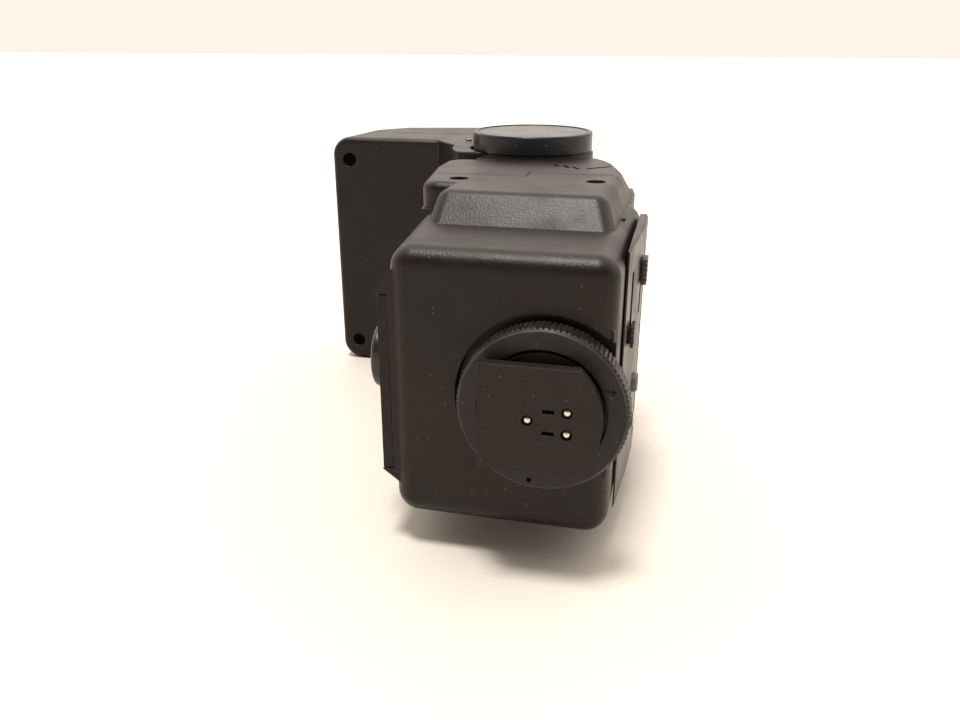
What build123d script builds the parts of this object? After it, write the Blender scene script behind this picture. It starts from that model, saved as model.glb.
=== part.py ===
"""Speedlight flash: battery body, hot-shoe foot with locking wheel, and tilting lamp head.

Millimetres. The origin is the centre of the foot's underside. +X is the flash's rear (its
control panel), +Y runs from the foot up the body to the head, +Z is the flash's left side.
"""

import os

from build123d import *

# ---- driving dimensions -------------------------------------------------------------------
WALL = 2.0  # moulded wall thickness
GAP = 0.3  # air between parts that move past each other
FIT = 0.05  # radial clearance of a running fit
SKIN = 0.1  # assembly clearance between fixed parts

# hot-shoe foot
FOOT_HALF_Z = 9.3
FOOT_FRONT, FOOT_REAR = -9.95, 10.45
FOOT_THICK = 2.0
FOOT_CORNER_X = 6.5  # where the sides end and the round rear end begins
STEM_R, STEM_FLAT_Z, STEM_TOP = 6.9, 6.1, 13.0
STEM_FLANGE_R = 9.0
PIN_R, PIN_HOLE_R, PIN_COLLAR_R, PIN_BORE_R = 0.8, 0.98, 1.15, 1.3
PIN_DOME_R = 0.74  # rounding of each tip, nearly a half ball
PIN_TRAVEL = 0.5
PINS = {"center_pin": (-1.64, 0.0), "upper_pin": (4.79, 1.89), "lower_pin": (4.79, -1.89)}
SLOT_X, SLOT_Z, SLOT_LENGTH, SLOT_WIDTH = 1.78, 1.9, 1.95, 0.75

# locking wheel and its washer
WHEEL_R, WHEEL_HOLE_R = 14.55, 11.0
WHEEL_NEAR, WHEEL_FAR = 3.71, 8.2
WHEEL_TEETH, TOOTH_DEPTH = 96, 0.3
WEB_NEAR = 5.6
WASHER_R, WASHER_NEAR, WASHER_FAR = 10.3, 4.1, 5.4
CLAMP_TRAVEL = 1.2
RECESS_R = 15.64
RECESS_FLOOR = WHEEL_FAR + CLAMP_TRAVEL + 2 * GAP

# body
BASE_Y = 7.54
SEAM_FRONT_Y, SEAM_REAR_Y, SEAM_STEP_X = 50.0, 55.0, -12.0
NECK_Y = 72.0
CASE_HALF_Z, SHOULDER_Z = 25.4, 30.8
BASE_FRONT, BASE_REAR = -27.2, 11.4
CASE_REAR, CASE_REAR_END = 11.6, 54.0  # rear wall at its head end, below the neck
NECK_FRONT, NECK_REAR = -34.2, 8.4
FLARE = [(-30.8, 39.0), (-34.0, 60.0)]  # front wall, from the flank's step up to the neck
CORNER_R, BASE_EDGE_R = 4.2, 3.8
RAISED_FOOT = [(-26.3, 25.3), (8.8, 25.3), (9.4, 55.0), (9.4, 65.0), (NECK_REAR, NECK_Y), (-26.3, NECK_Y)]
RAISED_TOP = [(-25.3, 31.6), (6.3, 31.6), (6.7, 55.0), (5.6, 65.0), (3.6, NECK_Y), (-25.3, NECK_Y)]
RAISED_EDGE_R = 3.0
FLARE_STEP_R, FLARE_END_R, FLARE_EDGE_R = 4.0, 5.0, 2.0
PAD_DEEP, FLARE_DEEP = 1.0, 5.0  # how far the flank's two solids reach into the case
GROOVE = 0.3  # width and depth of the joint line between two mouldings
SCREW_HOLE_R = 1.95
CASE_SCREWS = [(-24.4, 44.3), (2.8, 46.5)]

# front panel and sensor
FRAME_X, FRAME_Y, FRAME_Z = -29.9, (9.0, 36.0), (-17.1, 17.6)
FRAME_ROOT_X, FRAME_ROOT_Y, FRAME_ROOT_Z = -24.6, (8.2, 39.0), (-20.6, 23.9)
FRAME_LEAN = 3.6  # degrees that the frame's face leans with the front wall
FRAME_RIM = 1.2  # frame left beyond the panel at its head end
PANEL_HALF_Z, PANEL_X, PANEL_GAP = 16.5, -29.8, 0.25
SENSOR_Y, SENSOR_Z, SENSOR_R, SENSOR_X = 20.0, 1.5, 6.2, -33.1

# rear control panel
CONTROL_Y0, CONTROL_Y1, CONTROL_HALF_Z, CONTROL_BACK = 17.5, 54.4, 24.6, 11.7
CONTROL_CURVE = [(12.0, 17.7), (12.95, 30.0), (13.45, 42.0), (13.3, 48.0), (12.7, 52.0)]
CONTROL_EDGE_R, CONTROL_CORNER_R = 0.8, 7.0
MODE_Y, MODE_Z, MODE_SLOT, MODE_CAP = 23.5, 7.9, (5.9, 19.4), (12.7, 13.35)
POWER_Y, POWER_Z, POWER_SLOT, POWER_CAP = 36.0, 16.5, (7.9, 19.1), (13.4, 14.3)
TEST_Y, TEST_Z, TEST_R, TEST_TOP = 35.0, -6.0, 2.0, 14.1
LAMP_Y, LAMP_Z, LAMP_R, LAMP_TOP = 35.0, -14.0, 2.1, 13.7
PLATE_Y0, PLATE_Y1, PLATE_HALF_Z, PLATE_X, PLATE_THICK = 40.0, 48.6, 20.0, 13.1, 0.5

# cells and electronics
CELL_R, CELL_LENGTH, CELL_Y = 7.15, 49.2, 16.7
CELL_X = (-16.2, -1.7)
CELL_Z = (-14.6, -0.1)
TRAY_WALL = 0.8
CAPACITOR_X, CAPACITOR_Z, CAPACITOR_R = -14.5, 15.7, 7.4
CAPACITOR_ENDS = (18.0, 62.0)
DOOR_Y1 = 67.5
DOOR_TRAVEL = 6.0

# tilting head
PIVOT_X, PIVOT_Y = -17.4, 88.0
HEAD_HALF_Z = 31.6
HEAD_FRONT, HEAD_BACK = -74.2, -8.5
HEAD_CORNER_R, HEAD_REAR_R, HEAD_EDGE_R = 5.0, 3.0, 1.5
HEAD_RIDGE_R = 4.0  # rounding of the ridges across the head's top
HEAD_LOW, HEAD_TOP, HEAD_SPLIT = 96.8, 129.0, 112.0
ARM_R, ARM_INNER_Z = 14.8, 24.3
ARM_ROOT = [(-27.5, 71.0), (3.4, 71.0), (1.4, 75.5), (-0.8, 78.6), (-10.0, 79.0), (-10.0, 88.0),
            (-25.5, 88.0), (-25.5, 76.0), (-27.5, 74.0)]
BOSS_R, BOSS_Z = 14.3, 31.3
RECESS_ARM_R, CHEEK_R = 15.3, 19.6
HUB_HALF_Z, HUB_R = 24.0, 15.4
AXLE_R = 4.5
DISC_R, DISC_Z0, DISC_Z1 = 14.5, 31.5, 35.7
STOP_PIN = (-36.0, 97.9)
STOP_PIN_R, STOP_PIN_ENDS = 0.8, (28.6, 32.1)
WINDOW_HALF_Z, WINDOW_Y0, WINDOW_Y1 = 25.5, 100.5, 118.5


# ---- helpers --------------------------------------------------------------------------------
def block(x, y, z):
    """Box between the given (low, high) pairs."""
    size = [high - low for low, high in (x, y, z)]
    middle = [(high + low) / 2 for low, high in (x, y, z)]
    return Pos(*middle) * Box(*size)


def rod(axis, r, ends, a, b):
    """Cylinder along an axis between two coordinates; a and b are its other two, in X, Y, Z order."""
    low, high = ends
    middle = (low + high) / 2
    if axis == "X":
        return Pos(middle, a, b) * Rot(0, 90, 0) * Cylinder(r, high - low)
    if axis == "Y":
        return Pos(a, middle, b) * Rot(90, 0, 0) * Cylinder(r, high - low)
    return Pos(a, b, middle) * Cylinder(r, high - low)


def plate_z(points, z0, z1):
    """Closed outline in X and Y, thickened from z0 to z1."""
    face = make_face(Polyline(*points, close=True))
    return extrude(Pos(0, 0, z0) * face, amount=z1 - z0, dir=(0, 0, 1))


def plate_y(points, y0, y1):
    """Closed outline in X and Z, thickened from y0 to y1."""
    face = make_face(Polyline(*[(x, y0, z) for x, z in points], close=True))
    return extrude(face, amount=y1 - y0, dir=(0, 1, 0))


def running(solid, direction, least=0.95):
    """Straight edges of a solid that run nearly along a direction."""
    wanted = Vector(*direction)
    picked = []
    for edge in solid.edges().filter_by(GeomType.LINE):
        if abs(edge.tangent_at(0.5).dot(wanted)) > least:
            picked.append(edge)
    return picked


def mirrored(solid):
    """The same solid on the other side of the flash, across Z = 0."""
    return mirror(solid, about=Plane.XY)


def screw(head_r, head_h, shank_r, length):
    """Pan-head cross-recess screw along +Z, its head's top at Z = 0 and the shank below."""
    body = Pos(0, 0, -head_h / 2) * Cylinder(head_r, head_h)
    body += Pos(0, 0, -head_h - length / 2) * Cylinder(shank_r, length)
    slot = Pos(0, 0, -head_h * 0.25) * Box(head_r * 1.3, head_r * 0.28, head_h * 0.5)
    return body - slot - Rot(0, 0, 90) * slot


def save(node, *solids):
    """Writes one node; several solids become one group."""
    flat = [piece for solid in solids for piece in solid.solids()]
    whole = flat[0] if len(flat) == 1 else Compound(children=flat)
    export_step(whole, f"parts/{node}.step")
    print(node, len(flat), round(sum(piece.volume for piece in flat)))


# ---- foot -----------------------------------------------------------------------------------
def foot_plate():
    low, high = (FOOT_CORNER_X, 0, -FOOT_HALF_Z), (FOOT_CORNER_X, 0, FOOT_HALF_Z)
    sides = Polyline(low, (FOOT_FRONT, 0, low[2]), (FOOT_FRONT, 0, high[2]), high)
    nose = ThreePointArc(high, (FOOT_REAR, 0, 0), low)
    plate = extrude(make_face(sides + nose), amount=FOOT_THICK, dir=(0, 1, 0))
    for x, z in PINS.values():
        plate -= rod("Y", PIN_HOLE_R, (-1, 0.7), x, z)
        plate -= rod("Y", PIN_R + FIT, (0, FOOT_THICK + 1), x, z)
    for side in (-1, 1):
        x = (SLOT_X - SLOT_LENGTH / 2, SLOT_X + SLOT_LENGTH / 2)
        z = (side * SLOT_Z - SLOT_WIDTH / 2, side * SLOT_Z + SLOT_WIDTH / 2)
        plate -= block(x, (-1, 1.2), z)
    return plate


def foot_stem():
    stem = keyed_rod(0, (FOOT_THICK, STEM_TOP))
    stem += rod("Y", STEM_FLANGE_R, (RECESS_FLOOR + WALL + SKIN, STEM_TOP - SKIN), 0, 0)
    for x, z in PINS.values():
        stem -= rod("Y", PIN_BORE_R, (FOOT_THICK - 1, STEM_TOP + 3), x, z)
    return stem


def keyed_rod(clear, ends):
    """The stem's section: round, with a flat towards each shoe rail."""
    half = STEM_FLAT_Z + clear
    return rod("Y", STEM_R + clear, ends, 0, 0) & block((-20, 20), ends, (-half, half))


def contact_pin(x, z):
    tip = rod("Y", PIN_R, (0.05, FOOT_THICK + 0.5), x, z)
    tip = fillet(tip.edges().sort_by(Axis.Y)[0], PIN_DOME_R)
    return tip + rod("Y", PIN_COLLAR_R, (FOOT_THICK + 0.05, FOOT_THICK + 0.5), x, z)


def pin_spring(x, z):
    low, wire = FOOT_THICK + 0.5 + PIN_TRAVEL + 0.1, 0.14
    coil = Helix(pitch=0.75, height=6.0, radius=PIN_COLLAR_R - wire - 0.06, direction=(0, 1, 0))
    wound = sweep(Plane(origin=coil @ 0, z_dir=coil % 0) * Circle(wire), path=coil)
    return Pos(x, low + wire, z) * wound


def contact_board():
    low = STEM_TOP + 0.2
    return block((-7, 8.5), (low, low + 1.0), (-6, 6))


def locking_wheel():
    ring = rod("Y", WHEEL_R, (WHEEL_NEAR, WHEEL_FAR), 0, 0)
    ring = chamfer(ring.edges().filter_by(GeomType.CIRCLE), 0.5)
    ring -= rod("Y", WHEEL_HOLE_R, (WHEEL_NEAR - 1, WEB_NEAR), 0, 0)
    ring -= rod("Y", STEM_R + FIT, (WHEEL_NEAR, WHEEL_FAR + 1), 0, 0)
    notch = Pos(0, 0, WHEEL_R) * Rot(0, 45, 0) * Box(TOOTH_DEPTH * 1.4, 20, TOOTH_DEPTH * 1.4)
    cutters = [Rot(0, 360 / WHEEL_TEETH * i, 0) * notch for i in range(WHEEL_TEETH)]
    return ring - Compound(children=cutters)


def clamp_washer():
    ring = rod("Y", WASHER_R, (WASHER_NEAR, WASHER_FAR), 0, 0)
    return ring - keyed_rod(FIT, (0, 20))


# ---- body -----------------------------------------------------------------------------------
def core(inset=0.0):
    """Block inside the case walls at an inset, without the raised flanks."""
    half = CASE_HALF_Z - inset
    low, high = BASE_Y + inset, CASE_REAR_END - inset
    step = (FLARE[0][0] + inset, FLARE[0][1])
    outline = [(BASE_FRONT + inset, low), (BASE_REAR - inset, low), (CASE_REAR - inset, high)]
    outline += [(step[0], high), step]
    bucket = plate_z(outline, -half, half)
    bucket = fillet(running(bucket, (0, 1, 0), 0.9), CORNER_R - inset)
    bucket = fillet(bucket.faces().sort_by(Axis.Y)[0].edges(), BASE_EDGE_R - inset)
    rear = [(x - inset, y) for x, y in RAISED_FOOT[2:4]] + [(NECK_REAR - inset, NECK_Y)]
    outline = [step, (rear[0][0], step[1])] + rear
    outline += [(NECK_FRONT + inset, NECK_Y), (FLARE[1][0] + inset, FLARE[1][1])]
    return bucket + plate_z(outline, -half, half)


def raised(inset=0.0):
    """Raised pad on the +Z side, sloped at its foot end, front and rear."""
    levels = ((RAISED_FOOT, CASE_HALF_Z - PAD_DEEP), (RAISED_TOP, SHOULDER_Z - inset))
    faces = []
    for outline, z in levels:
        corners = []
        for i, (x, y) in enumerate(outline):
            corners.append((x + inset if x < 0 else x - inset, y + inset if i < 2 else y))
        faces.append(Pos(0, 0, z) * make_face(Polyline(*corners, close=True)))
    solid = loft(faces, ruled=True)
    rims = [e for e in solid.edges() if e.center().Y < NECK_Y - 0.1 and e.center().Z > CASE_HALF_Z]
    return fillet(rims, RAISED_EDGE_R - inset)


def flare(inset=0.0):
    """Wider part of the raised flank at the front, from its step up to the neck."""
    inner_x = RAISED_FOOT[0][0] + 6
    outline = [(inner_x, FLARE[0][1] + inset)] + [(x + inset, y) for x, y in FLARE]
    outline[1] = (outline[1][0], outline[0][1])
    outline += [(NECK_FRONT + inset, NECK_Y), (inner_x, NECK_Y)]
    solid = plate_z(outline, CASE_HALF_Z - FLARE_DEEP, SHOULDER_Z - inset)
    upright = [e for e in running(solid, (0, 0, 1)) if e.center().X < FLARE[0][0] + inset + 0.1]
    upright.sort(key=lambda e: e.center().Y)
    solid = fillet(upright[0], FLARE_STEP_R - inset)
    upright = [e for e in running(solid, (0, 0, 1)) if e.center().X < NECK_FRONT + inset + 0.1]
    solid = fillet(upright, FLARE_END_R - inset)
    if inset > FLARE_EDGE_R - GAP:
        return solid
    rim = solid.faces().sort_by(Axis.Z)[-1].edges()
    rim = [e for e in rim if e.center().X < inner_x - 0.1 and e.center().Y < NECK_Y - 0.1]
    return fillet(rim, FLARE_EDGE_R - inset)


def flank(inset=0.0):
    return raised(inset) + flare(inset)


def body_envelope(inset=0.0):
    side = flank(inset)
    return core(inset) + side + mirrored(side)


def seam_cutter():
    """Everything on the head's side of the stepped seam."""
    far = 200
    outline = [(-far, SEAM_FRONT_Y), (SEAM_STEP_X, SEAM_FRONT_Y), (SEAM_STEP_X, SEAM_REAR_Y)]
    outline += [(far, SEAM_REAR_Y), (far, far), (-far, far)]
    return plate_z(outline, -far, far)


def seam_groove():
    """Thin joint line round the outside, just on the foot's side of the seam."""
    cutter = seam_cutter()
    band = Pos(GROOVE, -GROOVE, 0) * cutter - cutter
    return band & (body_envelope() - body_envelope(GROOVE))


def door_space(clear=0.0):
    """The right-hand shoulder between its foot end and the neck, which the battery door fills."""
    return block((-60, 40), (10, DOOR_Y1 + clear), (-60, -CASE_HALF_Z - 0.05 + clear))


def wheel_recess():
    return rod("Y", RECESS_R, (0, RECESS_FLOOR), 0, 0)


def screw_hole(x, y, top, depth):
    return rod("Z", SCREW_HOLE_R, (top - depth, top + 5), x, y)


def case_walls():
    walls = body_envelope() - body_envelope(WALL)
    floor = rod("Y", RECESS_R + 1.5, (BASE_Y + 1, RECESS_FLOOR + WALL), 0, 0)
    floor -= block((BASE_REAR - 0.5, 40), (0, 40), (-40, 40))
    walls += floor
    walls -= wheel_recess()
    walls -= keyed_rod(SKIN, (0, 30))
    return walls - door_space(SKIN)


def leaning(solid):
    """Turns a solid of the front frame about the frame's foot end, to lie along the front wall."""
    foot = Pos(FRAME_X, FRAME_Y[0], 0)
    return foot * Rot(0, 0, FRAME_LEAN) * foot.inverse() * solid


def front_frame():
    """Raised frame round the front panel, sloped at its foot end and sides."""
    faces = []
    for x, y, z in ((FRAME_ROOT_X, FRAME_ROOT_Y, FRAME_ROOT_Z), (FRAME_X, FRAME_Y, FRAME_Z)):
        corners = [(x, y[0], z[0]), (x, y[1], z[0]), (x, y[1], z[1]), (x, y[0], z[1])]
        faces.append(make_face(Polyline(*corners, close=True)))
    return leaning(loft(faces, ruled=True))


def panel_space():
    """Pocket for the front panel; it runs out through the frame's foot end and its face."""
    y = (FRAME_Y[0] - 5, FRAME_Y[1] - FRAME_RIM + PANEL_GAP)
    half = PANEL_HALF_Z + PANEL_GAP
    return leaning(block((PANEL_X - 5, PANEL_X + WALL), y, (-half, half)))


def sensor_bore():
    return leaning(rod("X", SENSOR_R - 1.5, (-60, -20), SENSOR_Y, SENSOR_Z))


def lower_case():
    case = case_walls() + (front_frame() - body_envelope(WALL))
    case -= panel_space()
    case -= seam_cutter()
    case -= seam_groove()
    case -= sensor_bore()
    for x, y in CASE_SCREWS:
        case -= screw_hole(x, y, SHOULDER_Z, 1.6)
        case -= rod("Z", 1.2, (10, 40), x, y)
    return case


def upper_case():
    case = (case_walls() & seam_cutter()) + neck_lid()
    arm = fork_arm()
    case += arm
    case += mirrored(arm)
    boss = rod("Z", BOSS_R, (SHOULDER_Z - 1, BOSS_Z), PIVOT_X, PIVOT_Y)
    boss -= rod("Z", AXLE_R + FIT, (0, 60), PIVOT_X, PIVOT_Y)
    case += boss
    case -= rod("Z", 10.2, (-40, -SHOULDER_Z + 1.6), PIVOT_X, PIVOT_Y)
    return case


def neck_lid():
    lid = body_envelope() & block((-60, 60), (NECK_Y - WALL, NECK_Y), (-60, 60))
    return lid - rod("Y", 6, (40, 90), PIVOT_X, 0)


def fork_arm():
    """Left arm that carries the head's axle."""
    arm = rod("Z", ARM_R, (ARM_INNER_Z, SHOULDER_Z), PIVOT_X, PIVOT_Y)
    arm += plate_z(ARM_ROOT, ARM_INNER_Z, SHOULDER_Z)
    return arm - rod("Z", AXLE_R + FIT, (0, 60), PIVOT_X, PIVOT_Y)


def battery_door():
    """Sliding cover that is the whole right-hand shoulder."""
    outer = mirrored(flank())
    outer &= block((-60, 40), (10, DOOR_Y1), (-60, -CASE_HALF_Z - 0.15))
    inner = mirrored(flank(WALL)) & block((-60, 40), (10, DOOR_Y1 - WALL), (-60, 0))
    door = outer - inner
    for i in range(7):
        groove = block((-16, -2), (36 + 1.6 * i, 36.7 + 1.6 * i), (-40, -SHOULDER_Z + 0.5))
        door -= groove
    return door


def case_screw(x, y):
    return Pos(x, y, SHOULDER_Z - 0.4) * screw(1.75, 1.1, 1.1, 9.0)


# ---- front panel and sensor -------------------------------------------------------------------
def front_panel():
    y = (FRAME_Y[0] - 0.05, FRAME_Y[1] - FRAME_RIM)
    panel = block((PANEL_X, PANEL_X + WALL - SKIN), y, (-PANEL_HALF_Z, PANEL_HALF_Z))
    return leaning(panel) - sensor_bore()


def sensor_bezel():
    ring = rod("X", SENSOR_R, (SENSOR_X, PANEL_X), SENSOR_Y, SENSOR_Z)
    ring = fillet(ring.edges().sort_by(Axis.X)[0], 0.8)
    ring += rod("X", SENSOR_R - 1.6, (PANEL_X, PANEL_X + 4.5), SENSOR_Y, SENSOR_Z)
    ring -= rod("X", 3.2, (-60, -20), SENSOR_Y, SENSOR_Z)
    return leaning(ring - rod("X", 4.2, (SENSOR_X - 1, SENSOR_X + 1.4), SENSOR_Y, SENSOR_Z))


def sensor_lens():
    lens = rod("X", 4.1, (SENSOR_X + 0.5, SENSOR_X + 1.4), SENSOR_Y, SENSOR_Z)
    return leaning(lens + rod("X", 3.1, (SENSOR_X + 1.4, SENSOR_X + 2.6), SENSOR_Y, SENSOR_Z))


def light_sensor():
    return leaning(rod("X", 2.4, (SENSOR_X + 3.0, SENSOR_X + 7.0), SENSOR_Y, SENSOR_Z))


# ---- rear control panel -----------------------------------------------------------------------
def control_panel():
    outline = [(CONTROL_BACK, CONTROL_Y0)] + CONTROL_CURVE
    outline += [(CONTROL_BACK, CONTROL_Y1)]
    panel = plate_z(outline, -CONTROL_HALF_Z, CONTROL_HALF_Z)
    panel = fillet(outer_rims(panel), CONTROL_EDGE_R)
    panel &= rounded_end()
    bend_x, bend_y = CONTROL_CURVE[1]
    half = CONTROL_HALF_Z - 1.2
    panel -= block((bend_x - GROOVE, 20), (bend_y - GROOVE / 2, bend_y + GROOVE / 2), (-half, half))
    panel -= slider_slot(MODE_Y, MODE_SLOT)
    panel -= slider_slot(POWER_Y, POWER_SLOT)
    panel -= rod("X", TEST_R + FIT, (0, 30), TEST_Y, TEST_Z)
    panel -= rod("X", LAMP_R + SKIN, (0, 30), LAMP_Y, LAMP_Z)
    panel -= scale_block(SKIN)
    return panel


def rounded_end():
    """Block whose two corners at the panel's head end are rounded."""
    limit = block((0, 30), (CONTROL_Y0 - 1, CONTROL_Y1), (-CONTROL_HALF_Z, CONTROL_HALF_Z))
    corners = [e for e in running(limit, (1, 0, 0)) if e.center().Y > CONTROL_Y1 - 1]
    return fillet(corners, CONTROL_CORNER_R)


def outer_rims(panel):
    """The rims where the panel's curved face meets its two sides."""
    rims = []
    for edge in panel.edges().filter_by(GeomType.LINE):
        along_side = abs(abs(edge.center().Z) - CONTROL_HALF_Z) < 0.1
        if along_side and edge.center().X > CONTROL_CURVE[0][0] + 0.2:
            rims.append(edge)
    return rims


def slider_slot(y, z):
    return block((0, 30), (y - 1.1, y + 1.1), z)


def scale_block(clear):
    x = (PLATE_X - PLATE_THICK - clear, PLATE_X + 5)
    y = (PLATE_Y0 - clear, PLATE_Y1 + clear)
    half = PLATE_HALF_Z + clear
    return block(x, y, (-half, half))


def scale_plate():
    """Exposure scale plate, with engraved generic scale lines."""
    plate = scale_block(0) & block((0, PLATE_X), (0, 90), (-90, 90))
    for i in range(9):
        z = -16 + 4 * i
        plate -= block((PLATE_X - 0.2, 20), (PLATE_Y0 + 1.5, PLATE_Y1 - 1.5), (z - 0.12, z + 0.12))
    for i in range(3):
        y = PLATE_Y0 + 2 + 3 * i
        plate -= block((PLATE_X - 0.2, 20), (y - 0.1, y + 0.1), (-18, 18))
    return plate


def slider(y, z, ends, length):
    """Ribbed slide-switch cap on a foot that runs in its slot."""
    low, top = ends
    cap = block(ends, (y - 1.9, y + 1.9), (z - length / 2, z + length / 2))
    count = int(length / 0.9)
    for i in range(count):
        z_rib = z - length / 2 + (i + 0.5) * length / count
        cap -= block((top - 0.4, top + 1), (y - 3, y + 3), (z_rib - 0.2, z_rib + 0.2))
    foot_half = length / 2 - 0.4
    return cap + block((CONTROL_BACK + 0.1, low), (y - 1.05, y + 1.05), (z - foot_half, z + foot_half))


def mode_slider():
    return slider(MODE_Y, MODE_Z, MODE_CAP, 3.8)


def power_slider():
    return slider(POWER_Y, POWER_Z, POWER_CAP, 4.8)


def test_button():
    cap = rod("X", TEST_R, (CONTROL_BACK + 0.8, TEST_TOP), TEST_Y, TEST_Z)
    return fillet(cap.edges().sort_by(Axis.X)[-1], 0.6)


def ready_lamp():
    lens = rod("X", LAMP_R, (CONTROL_BACK + 0.1, LAMP_TOP), LAMP_Y, LAMP_Z)
    return fillet(lens.edges().sort_by(Axis.X)[-1], 0.8)


# ---- cells and electronics ----------------------------------------------------------------------
def cells():
    out = []
    for i, x in enumerate(CELL_X):
        for j, z in enumerate(CELL_Z):
            tip = CELL_Y + CELL_LENGTH
            can = fillet(rod("Y", CELL_R, (CELL_Y, tip), x, z).edges().filter_by(GeomType.CIRCLE), 0.5)
            nub = rod("Y", 2.7, (tip - 0.5, tip + 1.0), x, z)
            if (i + j) % 2:
                nub = rod("Y", 2.7, (CELL_Y - 1.0, CELL_Y + 0.5), x, z)
            out.append(can + nub)
    return out


def battery_tray():
    """Open-sided box round the cells; its open side faces the battery door."""
    margin = CELL_R + 0.15
    x = (CELL_X[0] - margin, CELL_X[1] + margin)
    y = (CELL_Y - 1.6, CELL_Y + CELL_LENGTH + 1.9)
    z = (CELL_Z[0] - margin, CELL_Z[1] + margin)
    outer_x = (x[0] - TRAY_WALL, x[1] + TRAY_WALL)
    tray = block(outer_x, (y[0] - 0.5, y[1] + TRAY_WALL), (z[0], z[1] + TRAY_WALL))
    return tray - block(x, y, (z[0] - 5, z[1]))


def terminals():
    """Leaf contacts at both ends of the cell pairs."""
    near = CELL_Y - 1.5
    far = CELL_Y + CELL_LENGTH + 1.3
    out = []
    for z in CELL_Z:
        out.append(block((CELL_X[0] - 5, CELL_X[1] + 5), (near, near + 0.4), (z - 4, z + 4)))
    for x in CELL_X:
        out.append(block((x - 4.5, x + 4.5), (far, far + 0.4), (CELL_Z[0] - 4, CELL_Z[1] + 4)))
    return out


def main_board():
    board = block((7.3, 8.9), (17.0, 51.4), (-20.5, 20.5))
    for y in (19.5, 49.0):
        for z in (-18, 18):
            board -= rod("X", 1.1, (0, 20), y, z)
    return board


def board_parts():
    chips = []
    for y, z, long in ((24, 14, 8), (36, 16, 6), (46, 13, 7)):
        chips.append(block((5.6, 7.25), (y - long / 2, y + long / 2), (z - 2.2, z + 2.2)))
    return chips


def capacitor():
    x, z, r = CAPACITOR_X, CAPACITOR_Z, CAPACITOR_R
    can = rod("Y", r, CAPACITOR_ENDS, x, z)
    can = fillet(can.edges().filter_by(GeomType.CIRCLE), 0.8)
    for y in (CAPACITOR_ENDS[0] + 3, CAPACITOR_ENDS[1] - 3):
        can -= rod("Y", r + 3, (y - 0.4, y + 0.4), x, z) - rod("Y", r - 0.4, (y - 1, y + 1), x, z)
    return can


def transformer():
    bobbin = block((-4.6, 4.2), (20.0, 34.0), (9.8, 20.6))
    core_leg = block((-5.6, 5.2), (23.5, 30.5), (8.8, 21.6))
    return bobbin + core_leg


# ---- head ---------------------------------------------------------------------------------------
def head_profile(inset=0.0):
    """Side outline of the lamp box in X and Y."""
    return [
        (HEAD_FRONT + inset, HEAD_LOW + inset),
        (HEAD_BACK - inset, HEAD_LOW + inset),
        (HEAD_BACK - inset, HEAD_TOP - 6 - inset),
        (HEAD_BACK - 6 - inset, HEAD_TOP - inset),
        (-40.0, HEAD_TOP - inset),
        (-67.0 + inset, HEAD_TOP - 6.5 - inset),
        (HEAD_FRONT + 2.4 + inset, HEAD_TOP - 12 - inset),
    ]


def head_envelope(inset=0.0):
    half = HEAD_HALF_Z - inset
    box = plate_z(head_profile(inset), -half, half)
    front = [e for e in running(box, (0, 1, 0), 0.9) if e.center().X < HEAD_FRONT + 10]
    box = fillet(front, HEAD_CORNER_R - inset)
    rear = [e for e in running(box, (0, 1, 0), 0.9) if e.center().X > HEAD_BACK - 3]
    box = fillet(rear, HEAD_REAR_R - inset)
    if inset < HEAD_EDGE_R:
        box = fillet(box.faces().sort_by(Axis.Y)[0].edges(), HEAD_EDGE_R - inset)
    ridges = [e for e in running(box, (0, 0, 1)) if e.center().Y > HEAD_TOP - 13]
    box = fillet(ridges, HEAD_RIDGE_R)
    cheek = rod("Z", CHEEK_R - inset, (-half, half), PIVOT_X, PIVOT_Y)
    keep = [(-60, 76.5), (PIVOT_X - 9, 76.5), (PIVOT_X - 3, HEAD_LOW + 3), (-60, HEAD_LOW + 3)]
    cheek &= plate_z(keep, -60, 60)
    blend = plate_z([(-45.5, HEAD_LOW + 2), (-37.0, 88.0), (-28.0, HEAD_LOW + 2)], -half, half)
    shape = box + cheek + blend + hub(inset)
    for side in (-1, 1):
        low, high = sorted((side * HUB_HALF_Z, side * 60))
        shape -= rod("Z", RECESS_ARM_R + inset, (low, high), PIVOT_X, PIVOT_Y)
    return shape


def hub(inset=0.0):
    """Round hub between the fork arms, with a web that runs up into the lamp box."""
    r = HUB_R - inset
    half = HUB_HALF_Z
    web = [(PIVOT_X - r, PIVOT_Y), (PIVOT_X + r, PIVOT_Y), (PIVOT_X + r - 0.9, PIVOT_Y + 5.3)]
    web += [(HEAD_BACK - inset, HEAD_LOW + 11), (PIVOT_X - r, HEAD_LOW + 11)]
    return rod("Z", r, (-half, half), PIVOT_X, PIVOT_Y) + plate_z(web, -half, half)


def head_shell():
    """Hollow head with the lamp window, axle bores and cavity."""
    cavity = plate_z(head_profile(WALL), -HEAD_HALF_Z + WALL, HEAD_HALF_Z - WALL)
    for side in (-1, 1):
        low, high = sorted((side * (HUB_HALF_Z - WALL), side * 60))
        cavity -= rod("Z", RECESS_ARM_R + WALL, (low, high), PIVOT_X, PIVOT_Y)
    wiring = rod("Z", HUB_R - WALL, (-HUB_HALF_Z + WALL, HUB_HALF_Z - WALL), PIVOT_X, PIVOT_Y)
    wiring += block((PIVOT_X - 10, PIVOT_X + 10), (PIVOT_Y, HEAD_LOW + 5),
                    (-HUB_HALF_Z + WALL, HUB_HALF_Z - WALL))
    shell = head_envelope() - cavity - wiring
    shell -= rod("Z", AXLE_R + SKIN, (-60, 60), PIVOT_X, PIVOT_Y)
    return shell - window_opening(0)


def window_opening(clear):
    y = (WINDOW_Y0 - clear, WINDOW_Y1 + clear)
    half = WINDOW_HALF_Z + clear
    return block((HEAD_FRONT - 10, HEAD_FRONT + 12), y, (-half, half))


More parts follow.
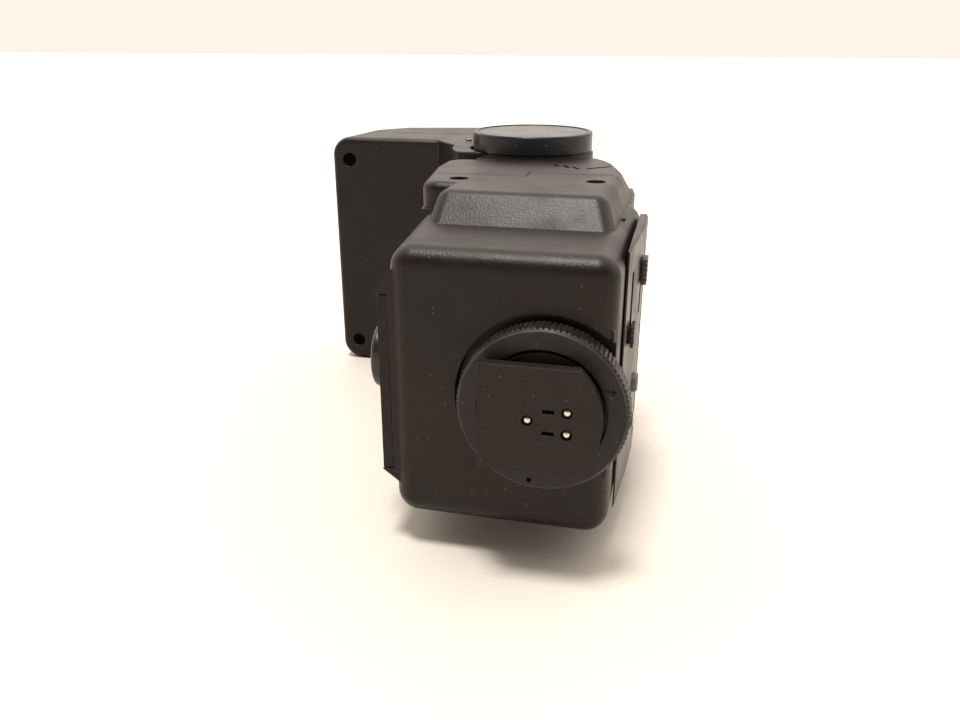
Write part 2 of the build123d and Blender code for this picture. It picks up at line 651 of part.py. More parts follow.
def head_lower_shell():
    low = head_shell() & block((-120, 60), (0, HEAD_SPLIT), (-60, 60))
    low -= rod("Z", STOP_PIN_R, STOP_PIN_ENDS, *STOP_PIN)
    for z in (-25.8, 25.8):
        low -= rod("Y", 1.85, (HEAD_LOW - 5, HEAD_LOW + 1.3), -69.0, z)
        low -= rod("Y", 1.1, (HEAD_LOW - 5, HEAD_LOW + 4), -69.0, z)
    return low


def head_upper_shell():
    return head_shell() & block((-120, 60), (HEAD_SPLIT, 160), (-60, 60))


def head_screw(z):
    return Pos(-69.0, HEAD_LOW + 0.2, z) * Rot(90, 0, 0) * screw(1.65, 0.9, 0.95, 2.4)


def stop_pin():
    """Bright pin at the head's lower left edge that ends the tilt."""
    pin = rod("Z", STOP_PIN_R, STOP_PIN_ENDS, *STOP_PIN)
    return fillet(pin.edges().sort_by(Axis.Z)[-1], 0.3)


def window_frame():
    """Frame set in the head's front opening."""
    x = (HEAD_FRONT + 0.3, HEAD_FRONT + 6)
    y = (WINDOW_Y0 + SKIN, WINDOW_Y1 - SKIN)
    half = WINDOW_HALF_Z - SKIN
    frame = block(x, y, (-half, half))
    frame &= plate_z(head_profile(0.3), -60, 60)
    return frame - block((-120, 0), (y[0] + 1.4, y[1] - 1.4), (-half + 1.4, half - 1.4))


def fresnel_window():
    """Ribbed lens plate inside the frame."""
    y = (WINDOW_Y0 + 1.6, WINDOW_Y1 - 1.6)
    half = WINDOW_HALF_Z - 1.6
    x_front = HEAD_FRONT + 2.6
    lens = block((x_front, x_front + 1.8), y, (-half, half))
    count = 15
    pitch = (y[1] - y[0]) / count
    for i in range(count):
        y_mid = y[0] + (i + 0.5) * pitch
        lens -= block((x_front + 1.4, x_front + 3), (y_mid - 0.2, y_mid + 0.2), (-half - 1, half + 1))
    return lens


def reflector():
    """Polished trough behind the window, open to the front."""
    x_open, x_back = HEAD_FRONT + 6.3, HEAD_FRONT + 24.0
    y_mid = (WINDOW_Y0 + WINDOW_Y1) / 2
    outer = [(x_open, y_mid - 8.6), (x_back, y_mid - 4.2), (x_back, y_mid + 4.2), (x_open, y_mid + 8.6)]
    inner = [(x_open - 1, y_mid - 8.0), (x_back - 0.8, y_mid - 3.5)]
    inner += [(x_back - 0.8, y_mid + 3.5), (x_open - 1, y_mid + 8.0)]
    trough = plate_z(outer, -24.0, 24.0) - plate_z(inner, -23.2, 23.2)
    tube_x = x_back - 4.0
    return trough - rod("Z", 2.2, (-30, 30), tube_x, y_mid)


def flash_tube():
    tube_x = HEAD_FRONT + 20.0
    y_mid = (WINDOW_Y0 + WINDOW_Y1) / 2
    tube = rod("Z", 1.75, (-24.5, 24.5), tube_x, y_mid)
    return tube + rod("Z", 0.5, (-26.8, 26.8), tube_x, y_mid)


def tube_boots():
    """Rubber boots that carry the lamp tube's ends."""
    tube_x = HEAD_FRONT + 20.0
    y_mid = (WINDOW_Y0 + WINDOW_Y1) / 2
    out = []
    for side in (-1, 1):
        low, high = sorted((side * 24.1, side * 26.6))
        boot = rod("Z", 3.2, (low, high), tube_x, y_mid)
        boot -= rod("Z", 1.8, sorted((side * 23, side * 24.6)), tube_x, y_mid)
        out.append(boot - rod("Z", 0.55, (-30, 30), tube_x, y_mid))
    return out


def head_board():
    return block((-45.0, -43.6), (99.5, 124.0), (-18, 18))


def trigger_coil():
    coil = rod("Y", 4.0, (104, 116), -38.8, 8)
    coil += rod("Y", 4.6, (103, 104), -38.8, 8)
    return coil + rod("Y", 4.6, (116, 117), -38.8, 8)


def tilt_axle():
    """Hollow axle; the lead to the lamp passes through it."""
    tube = rod("Z", AXLE_R, (-29.0, DISC_Z0 + 1.4), PIVOT_X, PIVOT_Y)
    return tube - rod("Z", AXLE_R - 1.5, (-60, 60), PIVOT_X, PIVOT_Y)


def tilt_disc():
    """Round cover on the left end of the axle, with a raised rim."""
    disc = rod("Z", DISC_R, (DISC_Z0, DISC_Z1), PIVOT_X, PIVOT_Y)
    disc = fillet(disc.edges().sort_by(Axis.Z)[-1], 0.5)
    disc -= rod("Z", DISC_R - 1.2, (DISC_Z1 - 0.5, DISC_Z1 + 2), PIVOT_X, PIVOT_Y)
    return disc - rod("Z", AXLE_R + SKIN, (DISC_Z0 - 1, DISC_Z0 + 1.5), PIVOT_X, PIVOT_Y)


def disc_inlay():
    """Thin cover plate inside the disc's rim."""
    return rod("Z", DISC_R - 1.3, (DISC_Z1 - 0.5, DISC_Z1 - 0.15), PIVOT_X, PIVOT_Y)


def hub_cap():
    """Flush cap over the right end of the axle."""
    cap = rod("Z", 10.1, (-SHOULDER_Z, -SHOULDER_Z + 1.5), PIVOT_X, PIVOT_Y)
    return chamfer(cap.edges().sort_by(Axis.Z)[0], 0.3)


# ---- writing ------------------------------------------------------------------------------------
def main():
    os.makedirs("parts", exist_ok=True)
    save("foot_plate", foot_plate())
    save("foot_stem", foot_stem())
    for node, (x, z) in PINS.items():
        save(node, contact_pin(x, z))
    save("pin_springs", *[pin_spring(x, z) for x, z in PINS.values()])
    save("contact_board", contact_board())
    save("locking_wheel", locking_wheel())
    save("clamp_washer", clamp_washer())
    save("lower_case", lower_case())
    save("upper_case", upper_case())
    save("battery_door", battery_door())
    save("case_screws", *[case_screw(x, y) for x, y in CASE_SCREWS])
    save("front_panel", front_panel())
    save("sensor_bezel", sensor_bezel())
    save("sensor_lens", sensor_lens())
    save("light_sensor", light_sensor())
    save("control_panel", control_panel())
    save("scale_plate", scale_plate())
    save("mode_slider", mode_slider())
    save("power_slider", power_slider())
    save("test_button", test_button())
    save("ready_lamp", ready_lamp())
    save("aa_cells", *cells())
    save("battery_tray", battery_tray())
    save("battery_terminals", *terminals())
    save("main_board", main_board())
    save("board_parts", *board_parts())
    save("flash_capacitor", capacitor())
    save("transformer", transformer())
    save("head_lower_shell", head_lower_shell())
    save("head_upper_shell", head_upper_shell())
    save("head_screws", head_screw(-25.8), head_screw(25.8))
    save("stop_pin", stop_pin())
    save("window_frame", window_frame())
    save("fresnel_window", fresnel_window())
    save("reflector", reflector())
    save("flash_tube", flash_tube())
    save("tube_boots", *tube_boots())
    save("head_board", head_board())
    save("trigger_coil", trigger_coil())
    save("tilt_axle", tilt_axle())
    save("tilt_disc", tilt_disc())
    save("disc_inlay", disc_inlay())
    save("hub_cap", hub_cap())


main()
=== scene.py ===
"""Looks of the speedlight flash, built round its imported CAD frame. Metres, in the frame's own axes."""
from math import cos, pi, radians, sin

import bmesh
import bpy
from mathutils import Matrix, Vector


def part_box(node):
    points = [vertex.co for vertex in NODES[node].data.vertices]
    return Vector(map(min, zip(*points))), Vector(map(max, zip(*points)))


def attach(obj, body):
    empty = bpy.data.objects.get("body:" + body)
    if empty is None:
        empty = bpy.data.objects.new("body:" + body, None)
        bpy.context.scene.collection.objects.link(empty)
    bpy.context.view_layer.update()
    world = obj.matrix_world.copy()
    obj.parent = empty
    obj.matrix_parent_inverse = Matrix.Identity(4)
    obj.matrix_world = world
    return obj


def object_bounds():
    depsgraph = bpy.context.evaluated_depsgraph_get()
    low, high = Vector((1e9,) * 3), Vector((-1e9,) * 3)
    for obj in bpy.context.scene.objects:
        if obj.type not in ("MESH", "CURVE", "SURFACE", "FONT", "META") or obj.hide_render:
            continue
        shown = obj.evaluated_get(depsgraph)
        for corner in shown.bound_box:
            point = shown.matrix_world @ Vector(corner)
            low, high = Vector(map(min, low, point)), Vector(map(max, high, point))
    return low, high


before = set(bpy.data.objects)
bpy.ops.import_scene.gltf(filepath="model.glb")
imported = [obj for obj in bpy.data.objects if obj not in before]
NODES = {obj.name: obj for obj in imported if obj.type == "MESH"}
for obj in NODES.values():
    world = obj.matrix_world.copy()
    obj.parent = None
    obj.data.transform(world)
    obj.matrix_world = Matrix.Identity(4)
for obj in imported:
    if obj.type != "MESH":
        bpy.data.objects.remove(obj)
CAD_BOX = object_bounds()
scene = bpy.context.scene
MM = 0.001
X, Y, Z = 0, 1, 2

# ---- camera, floor and light -------------------------------------------------------------------
LENS, SENSOR = 31.84, 36.0  # millimetres
CLIP_START = 0.005
CAMERA_PLACE = Vector((0.0201, -0.1219, 0.0588))
CAMERA_AIM = Vector((-0.219, 0.906, -0.364))
FLOOR_HALF = 3.0
FLOOR_COLOUR, FLOOR_ROUGH = (0.62, 0.575, 0.52), 0.6
WORLD_DIM, WORLD_BRIGHT = (0.05, 0.038, 0.03), (1.0, 0.905, 0.82)
WORLD_UPPER = 2.2  # how much brighter the room is above eye level than at the horizon
WORLD_AXIS = (0.0, 0.93, 0.36)  # the room is brightest this way: behind the flash
WORLD_SIDES = (-0.3, 0.62)  # along that axis, from dim to bright
WORLD_ABOVE = (0.2, 0.42)  # upward, from the pale horizon to the room above it
KEY_FROM = Vector((-0.08, -0.14, 1.0))
KEY_STRENGTH, KEY_SPREAD = 3.3, 14.0  # watts per square metre, and the light's width in degrees
KEY_COLOUR = (1.0, 0.965, 0.92)


class Graph:
    """Short ways to add nodes to a node tree and to wire them."""

    def __init__(self, tree):
        self.tree = tree

    def add(self, kind, inputs=None, **fields):
        node = self.tree.nodes.new("ShaderNode" + kind)
        for field, value in fields.items():
            setattr(node, field, value)
        for socket, value in (inputs or {}).items():
            self.feed(node.inputs[socket], value)
        return node

    def feed(self, socket, value):
        if isinstance(value, bpy.types.NodeSocket):
            self.tree.links.new(value, socket)
        else:
            socket.default_value = value

    def math(self, operation, a, b=0.0):
        return self.add("Math", {0: a, 1: b}, operation=operation).outputs[0]

    def product(self, first, *others):
        for other in others:
            first = self.math("MULTIPLY", first, other)
        return first

    def vector(self, operation, a, b, output):
        return self.add("VectorMath", {0: a, 1: b}, operation=operation).outputs[output]

    def span(self, value, low, high, start=0.0, end=1.0):
        """Smooth ramp of value from low to high, given as start to end."""
        inputs = {"Value": value, "From Min": low, "From Max": high, "To Min": start, "To Max": end}
        return self.add("MapRange", inputs, interpolation_type="SMOOTHSTEP").outputs[0]

    def mix(self, factor, a, b):
        """Blends two colours, each given as a socket or as three numbers."""
        node = self.add("Mix", {0: factor}, data_type="RGBA")
        for socket, value in ((node.inputs[6], a), (node.inputs[7], b)):
            self.feed(socket, value if isinstance(value, bpy.types.NodeSocket) else (*value, 1))
        return node.outputs[2]


def aim(obj, place, target):
    """Puts obj at place, looking at target along its -Z, with the frame's +Z up."""
    forward = (Vector(target) - Vector(place)).normalized()
    turn = forward.to_track_quat("-Z", "Y").to_matrix().to_4x4()
    obj.matrix_world = Matrix.Translation(place) @ turn


def make_camera():
    data = bpy.data.cameras.new("camera")
    data.sensor_width = SENSOR
    data.lens = LENS
    data.clip_start = CLIP_START
    camera = bpy.data.objects.new("camera", data)
    scene.collection.objects.link(camera)
    aim(camera, CAMERA_PLACE, CAMERA_PLACE + CAMERA_AIM)
    scene.camera = camera


def make_key():
    """Soft overhead light, the same all over the table."""
    data = bpy.data.lights.new("key", "SUN")
    data.energy = KEY_STRENGTH
    data.angle = radians(KEY_SPREAD)
    data.color = KEY_COLOUR
    lamp = bpy.data.objects.new("key", data)
    scene.collection.objects.link(lamp)
    aim(lamp, KEY_FROM, (0, 0, 0))


def make_world():
    """Room that is pale all round at eye level, bright above and behind, dim above the camera's side."""
    world = bpy.data.worlds.new("studio")
    world.use_nodes = True
    graph = Graph(world.node_tree)
    way = graph.add("TexCoord").outputs["Generated"]
    along = graph.vector("DOT_PRODUCT", way, WORLD_AXIS, "Value")
    up = graph.add("SeparateXYZ", {0: way}).outputs["Z"]
    sides = graph.mix(graph.span(along, *WORLD_SIDES), WORLD_DIM, WORLD_BRIGHT)
    back = world.node_tree.nodes["Background"]
    graph.feed(back.inputs["Color"], graph.mix(graph.span(up, *WORLD_ABOVE), WORLD_BRIGHT, sides))
    graph.feed(back.inputs["Strength"], graph.span(up, *WORLD_ABOVE, 1.0, WORLD_UPPER))
    scene.world = world


def make_floor(height):
    mesh = bpy.data.meshes.new("floor")
    half = FLOOR_HALF
    corners = [(-half, -half, height), (half, -half, height), (half, half, height), (-half, half, height)]
    mesh.from_pydata(corners, [], [(0, 1, 2, 3)])
    floor = bpy.data.objects.new("floor", mesh)
    scene.collection.objects.link(floor)
    look = Look("floor", FLOOR_COLOUR, FLOOR_ROUGH)
    mesh.materials.append(look.material)


# ---- materials: pattern scales are in repeats per metre, depths and edges in metres --------------
EDGE_SAMPLES = 4
EDGE_TURN = (0.995, 0.86)  # cosine of an edge's rounding, from untouched to fully lightened by rubbing and, on the wheel and disc, painted sheen
# edge colour for rubbing, and on the wheel also for a painted highlight
SHEEN_AND_RUB_COLOUR = (0.2, 0.19, 0.18)
DUST_COLOUR = (0.42, 0.38, 0.33)
DUST_GRAINS = ((1500, 0.17, 0.93), (420, 0.07, 0.965))  # scale, size in its cell, share left empty
DUST_EDGE, DUST_CUT = 0.55, 0.02
SCUFF_COLOUR = (0.24, 0.21, 0.18)
SCUFF_TURNS = ((0.3, 0.9, 0.5), (1.2, 0.2, 2.1))
SCUFF_SCALES = (46, 3400, 46)
BAND_EDGE = 0.6  # share of a band's half width that is solid
JOINT_COLOUR, JOINT_ROUGH = (0.0015, 0.0012, 0.001), 0.9
GRAIN_SCALE, PIT_SCALE, PIT_SHARE = 4000, 2480, 0.7  # spark-eroded plastic
WHEEL_RIM_R, WHEEL_RIM_WIDTH = 0.01405, (0.00012, 0.00002)  # painted highlight ring where the wheel's face meets its chamfer
PAINT_TOP, PAINT_FLOOR = (0.00004, 0.00012), (0.0003, 0.00026)  # below the scale plate's face


class Look(Graph):
    """One procedural material. Its patterns use the object's own coordinates, in metres."""

    def __init__(self, name, colour, rough, metal=0.0):
        self.material = bpy.data.materials.new(name)
        self.material.use_nodes = True
        super().__init__(self.material.node_tree)
        self.shader = self.tree.nodes["Principled BSDF"]
        self.where = self.add("TexCoord").outputs["Object"]
        self.normal = None
        self.colour = None
        self.rough = None
        self.set("Base Color", (*colour, 1))
        self.set("Roughness", rough)
        self.set("Metallic", metal)

    def set(self, socket, value):
        self.shader.inputs[socket].default_value = value

    def stretched(self, scale, turn=(0, 0, 0)):
        inputs = {"Vector": self.where, "Scale": scale, "Rotation": turn}
        return self.add("Mapping", inputs).outputs[0]

    def noise(self, scale, detail=2.0, rough=0.5, where=None):
        inputs = {"Vector": where or self.where, "Scale": scale, "Detail": detail, "Roughness": rough}
        return self.add("TexNoise", inputs).outputs["Fac"]

    def patches(self, scale, low, high, detail=3.0, rough=0.5, where=None):
        """Cloudy mask: 0 where the noise is below low, 1 where it is above high."""
        return self.span(self.noise(scale, detail, rough, where), low, high)

    def cells(self, scale):
        return self.add("TexVoronoi", {"Vector": self.where, "Scale": scale, "Randomness": 1.0})

    def axis(self, index):
        return self.add("SeparateXYZ", {0: self.where}).outputs[index]

    def band(self, index, middle, half):
        """1 within half of the middle along one axis, else 0."""
        off = self.math("ABSOLUTE", self.math("SUBTRACT", self.axis(index), middle))
        return self.span(off, half, half * BAND_EDGE)

    def paint(self, mask, colour):
        """Colour goes towards the one given where the mask is 1."""
        base = self.colour or tuple(self.shader.inputs["Base Color"].default_value)[:3]
        self.colour = self.mix(mask, base, colour)

    def shine(self, mask, value):
        """Roughness goes towards value where the mask is 1."""
        base = self.rough if self.rough is not None else self.shader.inputs["Roughness"].default_value
        self.rough = self.add("Mix", {0: mask, 2: base, 3: value}, data_type="FLOAT").outputs[0]

    def bump(self, height, depth):
        inputs = {"Height": height, "Distance": depth, "Strength": 1.0}
        if self.normal:
            inputs["Normal"] = self.normal
        self.normal = self.add("Bump", inputs).outputs[0]

    def soft_edges(self, radius, rub_and_sheen=0.0, sheen_and_rub_colour=SHEEN_AND_RUB_COLOUR):
        """Rounds hard edges by a small radius, and lightens them where rubbing has scuffed them; on the
        wheel and the tilt disc the lightened edges are also painted sheen.
        """
        self.normal = self.add("Bevel", {"Radius": radius}, samples=EDGE_SAMPLES).outputs[0]
        if rub_and_sheen:
            true = self.add("NewGeometry").outputs["Normal"]
            edge = self.span(self.vector("DOT_PRODUCT", self.normal, true, "Value"), *EDGE_TURN)
            broken = self.patches(420, 0.38, 0.7, detail=4.0, rough=0.65)
            self.paint(self.product(edge, broken, rub_and_sheen), sheen_and_rub_colour)

    def dust(self, amount):
        """Fine light specks, and a few larger grains of dust."""
        for scale, size, share in DUST_GRAINS:
            cell = self.cells(scale)
            near = self.span(cell.outputs["Distance"], size, size * DUST_EDGE)
            draw = self.add("SeparateColor", {0: cell.outputs["Color"]}).outputs[0]
            pick = self.span(draw, share, share + DUST_CUT)
            self.paint(self.product(near, pick, amount), DUST_COLOUR)

    def scratches(self, amount):
        """Sparse hairline scuffs in two directions."""
        for turn in SCUFF_TURNS:
            lines = self.patches(1.0, 0.735, 0.79, 1.0, 0.4, self.stretched(SCUFF_SCALES, turn))
            patch = self.patches(38, 0.56, 0.68, detail=2.0)
            self.paint(self.product(lines, patch, amount), SCUFF_COLOUR)

    def joint(self, y, half, low_x, high_x):
        """Dark parting line across the piece at one Y, between two X."""
        right = self.math("GREATER_THAN", self.axis(X), low_x)
        left = self.math("LESS_THAN", self.axis(X), high_x)
        line = self.product(self.band(Y, y, half), self.product(right, left))
        self.paint(line, JOINT_COLOUR)
        self.shine(line, JOINT_ROUGH)
        self.bump(line, -half)

    def done(self):
        results = (("Base Color", self.colour), ("Roughness", self.rough), ("Normal", self.normal))
        for socket, value in results:
            if value is not None:
                self.feed(self.shader.inputs[socket], value)
        return self.material


def lighter(colour, times):
    return tuple(part * times for part in colour)


def moulded(name, colour, rough, depth=0.00003, edge=0.0003, rub_and_sheen=0.35, joints=()):
    """Moulded black ABS with a spark-eroded grain; joints are what Look.joint takes."""
    look = Look(name, colour, rough)
    look.set("Specular IOR Level", 0.27)
    look.soft_edges(edge, rub_and_sheen)
    look.paint(look.patches(55, 0.35, 0.75), lighter(colour, 1.5))
    look.shine(look.patches(120, 0.4, 0.7, detail=4.0), rough + 0.09)
    look.scratches(0.3)
    look.dust(0.35)
    fine = look.noise(GRAIN_SCALE, 3.0, 0.6)
    pits = look.cells(PIT_SCALE).outputs["Distance"]
    look.bump(look.math("ADD", fine, look.product(pits, PIT_SHARE)), depth)
    for joint in joints:
        look.joint(*joint)
    return look.done()


def glossy(name, colour, rough, rub_and_sheen=0.25, sheen_and_rub_colour=(0.16, 0.16, 0.17), specular=0.5):
    """Smooth moulding with a slight ripple, fingermarks and hairlines."""
    look = Look(name, colour, rough)
    look.set("Specular IOR Level", specular)
    look.soft_edges(0.0002, rub_and_sheen, sheen_and_rub_colour)
    look.paint(look.patches(90, 0.4, 0.75), lighter(colour, 1.35))
    look.shine(look.patches(160, 0.42, 0.72, detail=5.0, rough=0.65), rough + 0.14)
    look.scratches(0.35)
    look.dust(0.6)
    look.bump(look.noise(700), 0.000004)
    return look.done()


def knurled(name):
    """Dull black wheel with scuffed teeth, their lightening partly a painted highlight, and a broken ring
    of painted highlight along the rim of its face.
    """
    look = Look(name, (0.0085, 0.0060, 0.0046), 0.42)
    look.set("Specular IOR Level", 0.35)
    # strong edge lightening: scuffed teeth, and also a painted highlight along the chamfer's edges
    look.soft_edges(0.00014, 0.9)
    look.paint(look.patches(300, 0.55, 0.85, detail=4.0, rough=0.6), (0.03, 0.027, 0.024))
    look.shine(look.patches(260, 0.4, 0.7, detail=4.0), 0.52)
    # painted highlight: a broken light ring where the face meets its chamfer
    flat = look.vector("MULTIPLY", look.where, (1, 0, 1), "Vector")
    radius = look.add("VectorMath", {0: flat}, operation="LENGTH").outputs["Value"]
    off_rim = look.math("ABSOLUTE", look.math("SUBTRACT", radius, WHEEL_RIM_R))
    highlight_breaks = look.patches(160, 0.3, 0.6)
    look.paint(look.product(look.span(off_rim, *WHEEL_RIM_WIDTH), highlight_breaks), (0.07, 0.064, 0.058))
    look.dust(0.75)
    look.scratches(0.3)
    look.bump(look.noise(3600, 3.0, 0.6), 0.00002)
    return look.done()


def metal(name, colour, rough, stain=(0.2, 0.16, 0.1), amount=0.35):
    """Bare metal with a little tarnish and uneven shine."""
    look = Look(name, colour, rough, 1.0)
    look.soft_edges(0.0001)
    tarnish = look.patches(900, 0.45, 0.75, detail=4.0, rough=0.6)
    look.paint(look.product(tarnish, amount), stain)
    look.shine(tarnish, min(rough + 0.2, 1.0))
    look.bump(look.noise(3200), 0.000006)
    return look.done()


def clear(name, colour, rough, ior, dirt=0.15):
    """Clear plastic or glass, dulled in patches."""
    look = Look(name, colour, rough)
    look.set("Transmission Weight", 1.0)
    look.set("IOR", ior)
    look.shine(look.patches(240, 0.45, 0.8, detail=4.0, rough=0.6), rough + dirt)
    look.bump(look.noise(500), 0.000004)
    return look.done()


def printed_plate(name, face_x):
    """Dark scale plate whose engraved lines are filled with pale paint."""
    look = Look(name, (0.02, 0.019, 0.018), 0.38)
    look.soft_edges(0.00012, 0.3)
    look.paint(look.patches(140, 0.4, 0.8), (0.032, 0.03, 0.028))
    sunk = look.span(look.axis(X), *(face_x - depth for depth in PAINT_TOP))
    above = look.span(look.axis(X), *(face_x - depth for depth in PAINT_FLOOR))
    look.paint(look.product(sunk, above), (0.62, 0.6, 0.55))
    look.scratches(0.4)
    look.dust(0.5)
    look.bump(look.noise(2200), 0.000008)
    return look.done()


def phenolic(name):
    """Brown circuit board with a mesh of slightly raised tracks."""
    look = Look(name, (0.19, 0.1, 0.032), 0.5)
    look.soft_edges(0.0001)
    fibres = look.patches(1.0, 0.4, 0.7, rough=0.6, where=look.stretched((60, 900, 60)))
    look.paint(fibres, (0.26, 0.15, 0.06))
    tracks = look.span(look.cells(240).outputs["Distance"], 0.26, 0.3)
    look.paint(look.product(tracks, 0.45), (0.1, 0.05, 0.016))
    look.bump(tracks, 0.00003)
    return look.done()


def painted_shade_mark(name):
    """Painted shade: a dark, dull finish standing in for the shadow inside small engraved marks."""
    look = Look(name, (0.0022, 0.0018, 0.0016), 0.85)
    look.set("Specular IOR Level", 0.04)
    look.paint(look.patches(1400, 0.55, 0.8), (0.006, 0.005, 0.0045))
    look.bump(look.noise(3000), 0.00001)
    return look.done()


def sleeve(name, colour, band_colour, index, middle, half):
    """Plain shrink sleeve with one plain band, for a cell or a capacitor."""
    rough = 0.3
    look = Look(name, colour, rough)
    look.soft_edges(0.0002)
    look.paint(look.band(index, middle, half), band_colour)
    look.shine(look.patches(220, 0.4, 0.7), rough + 0.12)
    look.bump(look.noise(420, 3.0), 0.00002)
    return look.done()


def wound(name):
    """Enamelled copper winding under varnish."""
    look = Look(name, (0.42, 0.12, 0.04), 0.32, 0.7)
    inputs = {"Vector": look.where, "Scale": 700.0, "Distortion": 0.4}
    turns = look.add("TexWave", inputs, bands_direction="Y").outputs["Fac"]
    look.paint(turns, (0.6, 0.22, 0.09))
    look.bump(turns, 0.00005)
    return look.done()


def dress(material, *names):
    for name in names:
        for slot in NODES[name].material_slots:
            slot.material = material


def shade_smooth(obj, degrees):
    """Smooth shading across edges flatter than the angle; vertex places stay as they are."""
    mesh = obj.data
    mesh.polygons.foreach_set("use_smooth", [True] * len(mesh.polygons))
    build = bmesh.new()
    build.from_mesh(mesh)
    sharp = [edge.calc_face_angle(0.0) > radians(degrees) for edge in build.edges]
    build.free()
    attribute = mesh.attributes.get("sharp_edge") or mesh.attributes.new("sharp_edge", "BOOLEAN", "EDGE")
    attribute.data.foreach_set("value", sharp)


# ---- which piece has which material --------------------------------------------------------------
BLACK = (0.0066, 0.0040, 0.0028)
ENDLESS = 1.0  # past either end of the flash
SEAM_STEP_X, SEAM_HALF = -0.012, 0.00017
SEAM = [(0.04985, SEAM_HALF, -ENDLESS, SEAM_STEP_X), (0.05485, SEAM_HALF, SEAM_STEP_X, ENDLESS)]
HEAD_JOINT = [(0.112, 0.00014, -ENDLESS, ENDLESS)]
CELL_BAND = (Y, 0.058, 0.004)
CAPACITOR_BAND = (Z, 0.0231, 0.0006)
NODE_CREASE, MARK_CREASE = 32, 40  # degrees


def dress_nodes():
    # outside
    dress(moulded("black_abs", BLACK, 0.37, joints=SEAM), "lower_case", "upper_case")
    dress(moulded("black_door", BLACK, 0.37), "battery_door")
    head = moulded("black_head", BLACK, 0.37, edge=0.0006, joints=HEAD_JOINT)
    dress(head, "head_lower_shell", "head_upper_shell")
    dress(moulded("black_rear", BLACK, 0.3, depth=0.00002), "control_panel")
    dress(moulded("black_front", BLACK, 0.44, depth=0.00002), "front_panel", "battery_tray")
    foot = moulded("black_foot", (0.0095, 0.0064, 0.0046), 0.45, depth=0.000016, rub_and_sheen=0.4)
    dress(foot, "foot_plate", "foot_stem", "clamp_washer")
    dress(knurled("knurled_black"), "locking_wheel")
    # painted reflection: the light bluish edge colour stands in for a blue glint on the disc's rim
    disc = glossy("blue_black", (0.0065, 0.008, 0.0125), 0.24, sheen_and_rub_colour=(0.05, 0.07, 0.13), specular=0.3)
    dress(disc, "tilt_disc", "hub_cap")
    dress(glossy("disc_face", (0.016, 0.015, 0.015), 0.2), "disc_inlay")
    dress(glossy("bezel_black", (0.011, 0.010, 0.009), 0.26), "sensor_bezel", "window_frame")
    dress(glossy("slider_black", (0.012, 0.011, 0.010), 0.35, rub_and_sheen=0.5), "mode_slider", "power_slider")
    dress(glossy("button_grey", (0.11, 0.105, 0.1), 0.35), "test_button")
    dress(printed_plate("plate_print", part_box("scale_plate")[1].x), "scale_plate")

    # metal
    brass = metal("brass_pin", (0.74, 0.66, 0.54), 0.14, (0.3, 0.22, 0.14))
    dress(brass, "center_pin", "upper_pin", "lower_pin")
    dress(metal("pin_steel", (0.16, 0.15, 0.145), 0.2, (0.05, 0.04, 0.03)), "stop_pin")
    dress(metal("nickel", (0.7, 0.69, 0.66), 0.25), "battery_terminals")
    dress(metal("spring_steel", (0.5, 0.49, 0.47), 0.3), "pin_springs")
    screws = metal("black_steel", (0.0045, 0.0038, 0.0034), 0.55, (0.002, 0.0016, 0.0014))
    dress(screws, "case_screws", "head_screws")
    dress(metal("polished", (0.9, 0.9, 0.9), 0.12, amount=0.1), "reflector")

    # clear
    dress(clear("red_filter", (0.10, 0.012, 0.02), 0.05, 1.49), "sensor_lens")
    dress(clear("window_clear", (0.93, 0.96, 0.97), 0.12, 1.49), "fresnel_window")
    dress(clear("tube_glass", (0.97, 0.97, 0.98), 0.04, 1.47, dirt=0.04), "flash_tube")
    dress(clear("amber", (0.95, 0.27, 0.03), 0.12, 1.5), "ready_lamp")

    # inside
    dress(glossy("epoxy", (0.03, 0.03, 0.032), 0.4), "light_sensor", "board_parts", "tilt_axle")
    dress(phenolic("board"), "contact_board", "main_board", "head_board")
    dress(sleeve("cell_sleeve", (0.05, 0.06, 0.075), (0.55, 0.34, 0.12), *CELL_BAND), "aa_cells")
    can = sleeve("capacitor_sleeve", (0.012, 0.018, 0.05), (0.5, 0.5, 0.48), *CAPACITOR_BAND)
    dress(can, "flash_capacitor")
    dress(wound("copper"), "transformer", "trigger_coil")
    dress(glossy("silicone", (0.5, 0.48, 0.45), 0.5), "tube_boots")
    for node in NODES.values():
        shade_smooth(node, NODE_CREASE)


# ---- small marks of painted shade, as their own pieces -------------------------------------------
# ends of each stroke in millimetres: X and Y on the shoulder, X and Z on the wheel
# the last tilt stroke is a painted shadow line along the edge of a raised circle round the pivot
TILT_TICKS = [((-8.6, 67.6), (-7.6, 64.9)), ((-6.3, 66.0), (-5.1, 63.4)), ((-4.1, 64.4), (-2.8, 61.9)),
              ((-0.7, 62.6), (3.6, 66.8))]
WHEEL_ARROW = [((10.4, 4.85), (12.0, 4.7)), ((11.5, 5.2), (12.0, 4.7)), ((11.4, 4.2), (12.0, 4.7))]
TICK_WIDTH, ARROW_WIDTH = 0.8, 0.15
DIMPLE, DIMPLE_R = (-1.74, -12.8), 0.45
STROKE_END_STEPS = 6
DIMPLE_SIDES = 28

# in metres
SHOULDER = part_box("lower_case")[1].z
WHEEL_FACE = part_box("locking_wheel")[0].y
MARK_HEIGHT, MARK_SINK = 0.00004, 0.00001
MARK_BEVEL = MARK_HEIGHT * 0.4


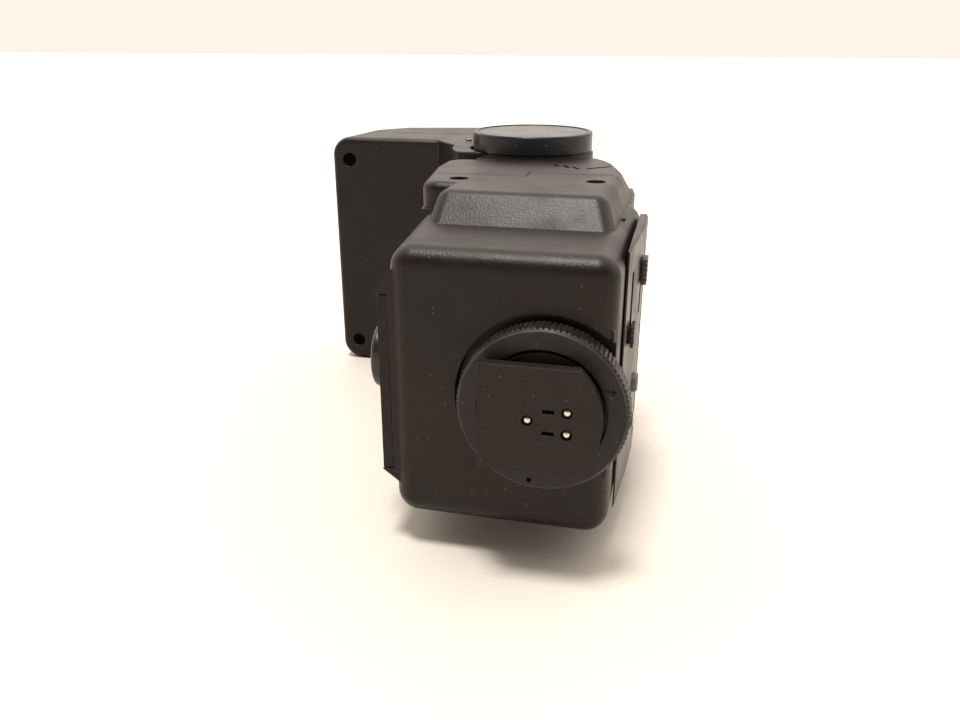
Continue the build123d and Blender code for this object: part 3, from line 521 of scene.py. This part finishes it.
def stroke(start, end, width):
    """Outline of a straight stroke with round ends, in a plane's two coordinates."""
    along = (Vector(end) - Vector(start)).normalized()
    side = Vector((-along.y, along.x))
    outline = []
    for middle, turn in ((Vector(end), -pi / 2), (Vector(start), pi / 2)):
        for i in range(STROKE_END_STEPS + 1):
            angle = turn + pi * i / STROKE_END_STEPS
            outline.append(middle + (along * cos(angle) + side * sin(angle)) * width / 2)
    return outline


def ring(centre, radius):
    angles = [2 * pi * i / DIMPLE_SIDES for i in range(DIMPLE_SIDES)]
    return [Vector(centre) + radius * Vector((cos(angle), sin(angle))) for angle in angles]


def on_shoulder(x, y, up):
    return Vector((x * MM, y * MM, SHOULDER - MARK_SINK + up))


def on_wheel(x, z, up):
    return Vector((x * MM, WHEEL_FACE + MARK_SINK - up, z * MM))


def lift(name, outlines, to_frame, material, body):
    """Low raised pieces on a surface: each outline becomes a thin prism with a softened rim."""
    build = bmesh.new()
    shift = to_frame(0, 0, MARK_HEIGHT) - to_frame(0, 0, 0)
    for outline in outlines:
        face = build.faces.new([build.verts.new(to_frame(point.x, point.y, 0.0)) for point in outline])
        top = bmesh.ops.extrude_face_region(build, geom=[face])["geom"]
        corners = [item for item in top if isinstance(item, bmesh.types.BMVert)]
        bmesh.ops.translate(build, verts=corners, vec=shift)
        rim = [item for item in top if isinstance(item, bmesh.types.BMEdge)]
        bmesh.ops.bevel(build, geom=rim, offset=MARK_BEVEL, segments=2, affect="EDGES")
    bmesh.ops.recalc_face_normals(build, faces=build.faces)
    mesh = bpy.data.meshes.new(name)
    build.to_mesh(mesh)
    build.free()
    piece = bpy.data.objects.new(name, mesh)
    scene.collection.objects.link(piece)
    mesh.materials.append(material)
    shade_smooth(piece, MARK_CREASE)
    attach(piece, body)


def make_marks():
    painted_shade = painted_shade_mark("mark_painted_shade")
    ticks = [stroke(start, end, TICK_WIDTH) for start, end in TILT_TICKS]
    lift("tilt_ticks", ticks, on_shoulder, painted_shade, "body")
    arrow = [stroke(start, end, ARROW_WIDTH) for start, end in WHEEL_ARROW]
    lift("wheel_arrow", arrow, on_wheel, painted_shade, "wheel")
    # painted shade: a dark disc where the dimple's hollow lies in shadow
    lift("wheel_dimple", [ring(DIMPLE, DIMPLE_R)], on_wheel, painted_shade, "wheel")


dress_nodes()
make_marks()
make_camera()
make_world()
make_floor(CAD_BOX[0][2])
make_key()
scene.view_settings.view_transform = "Standard"
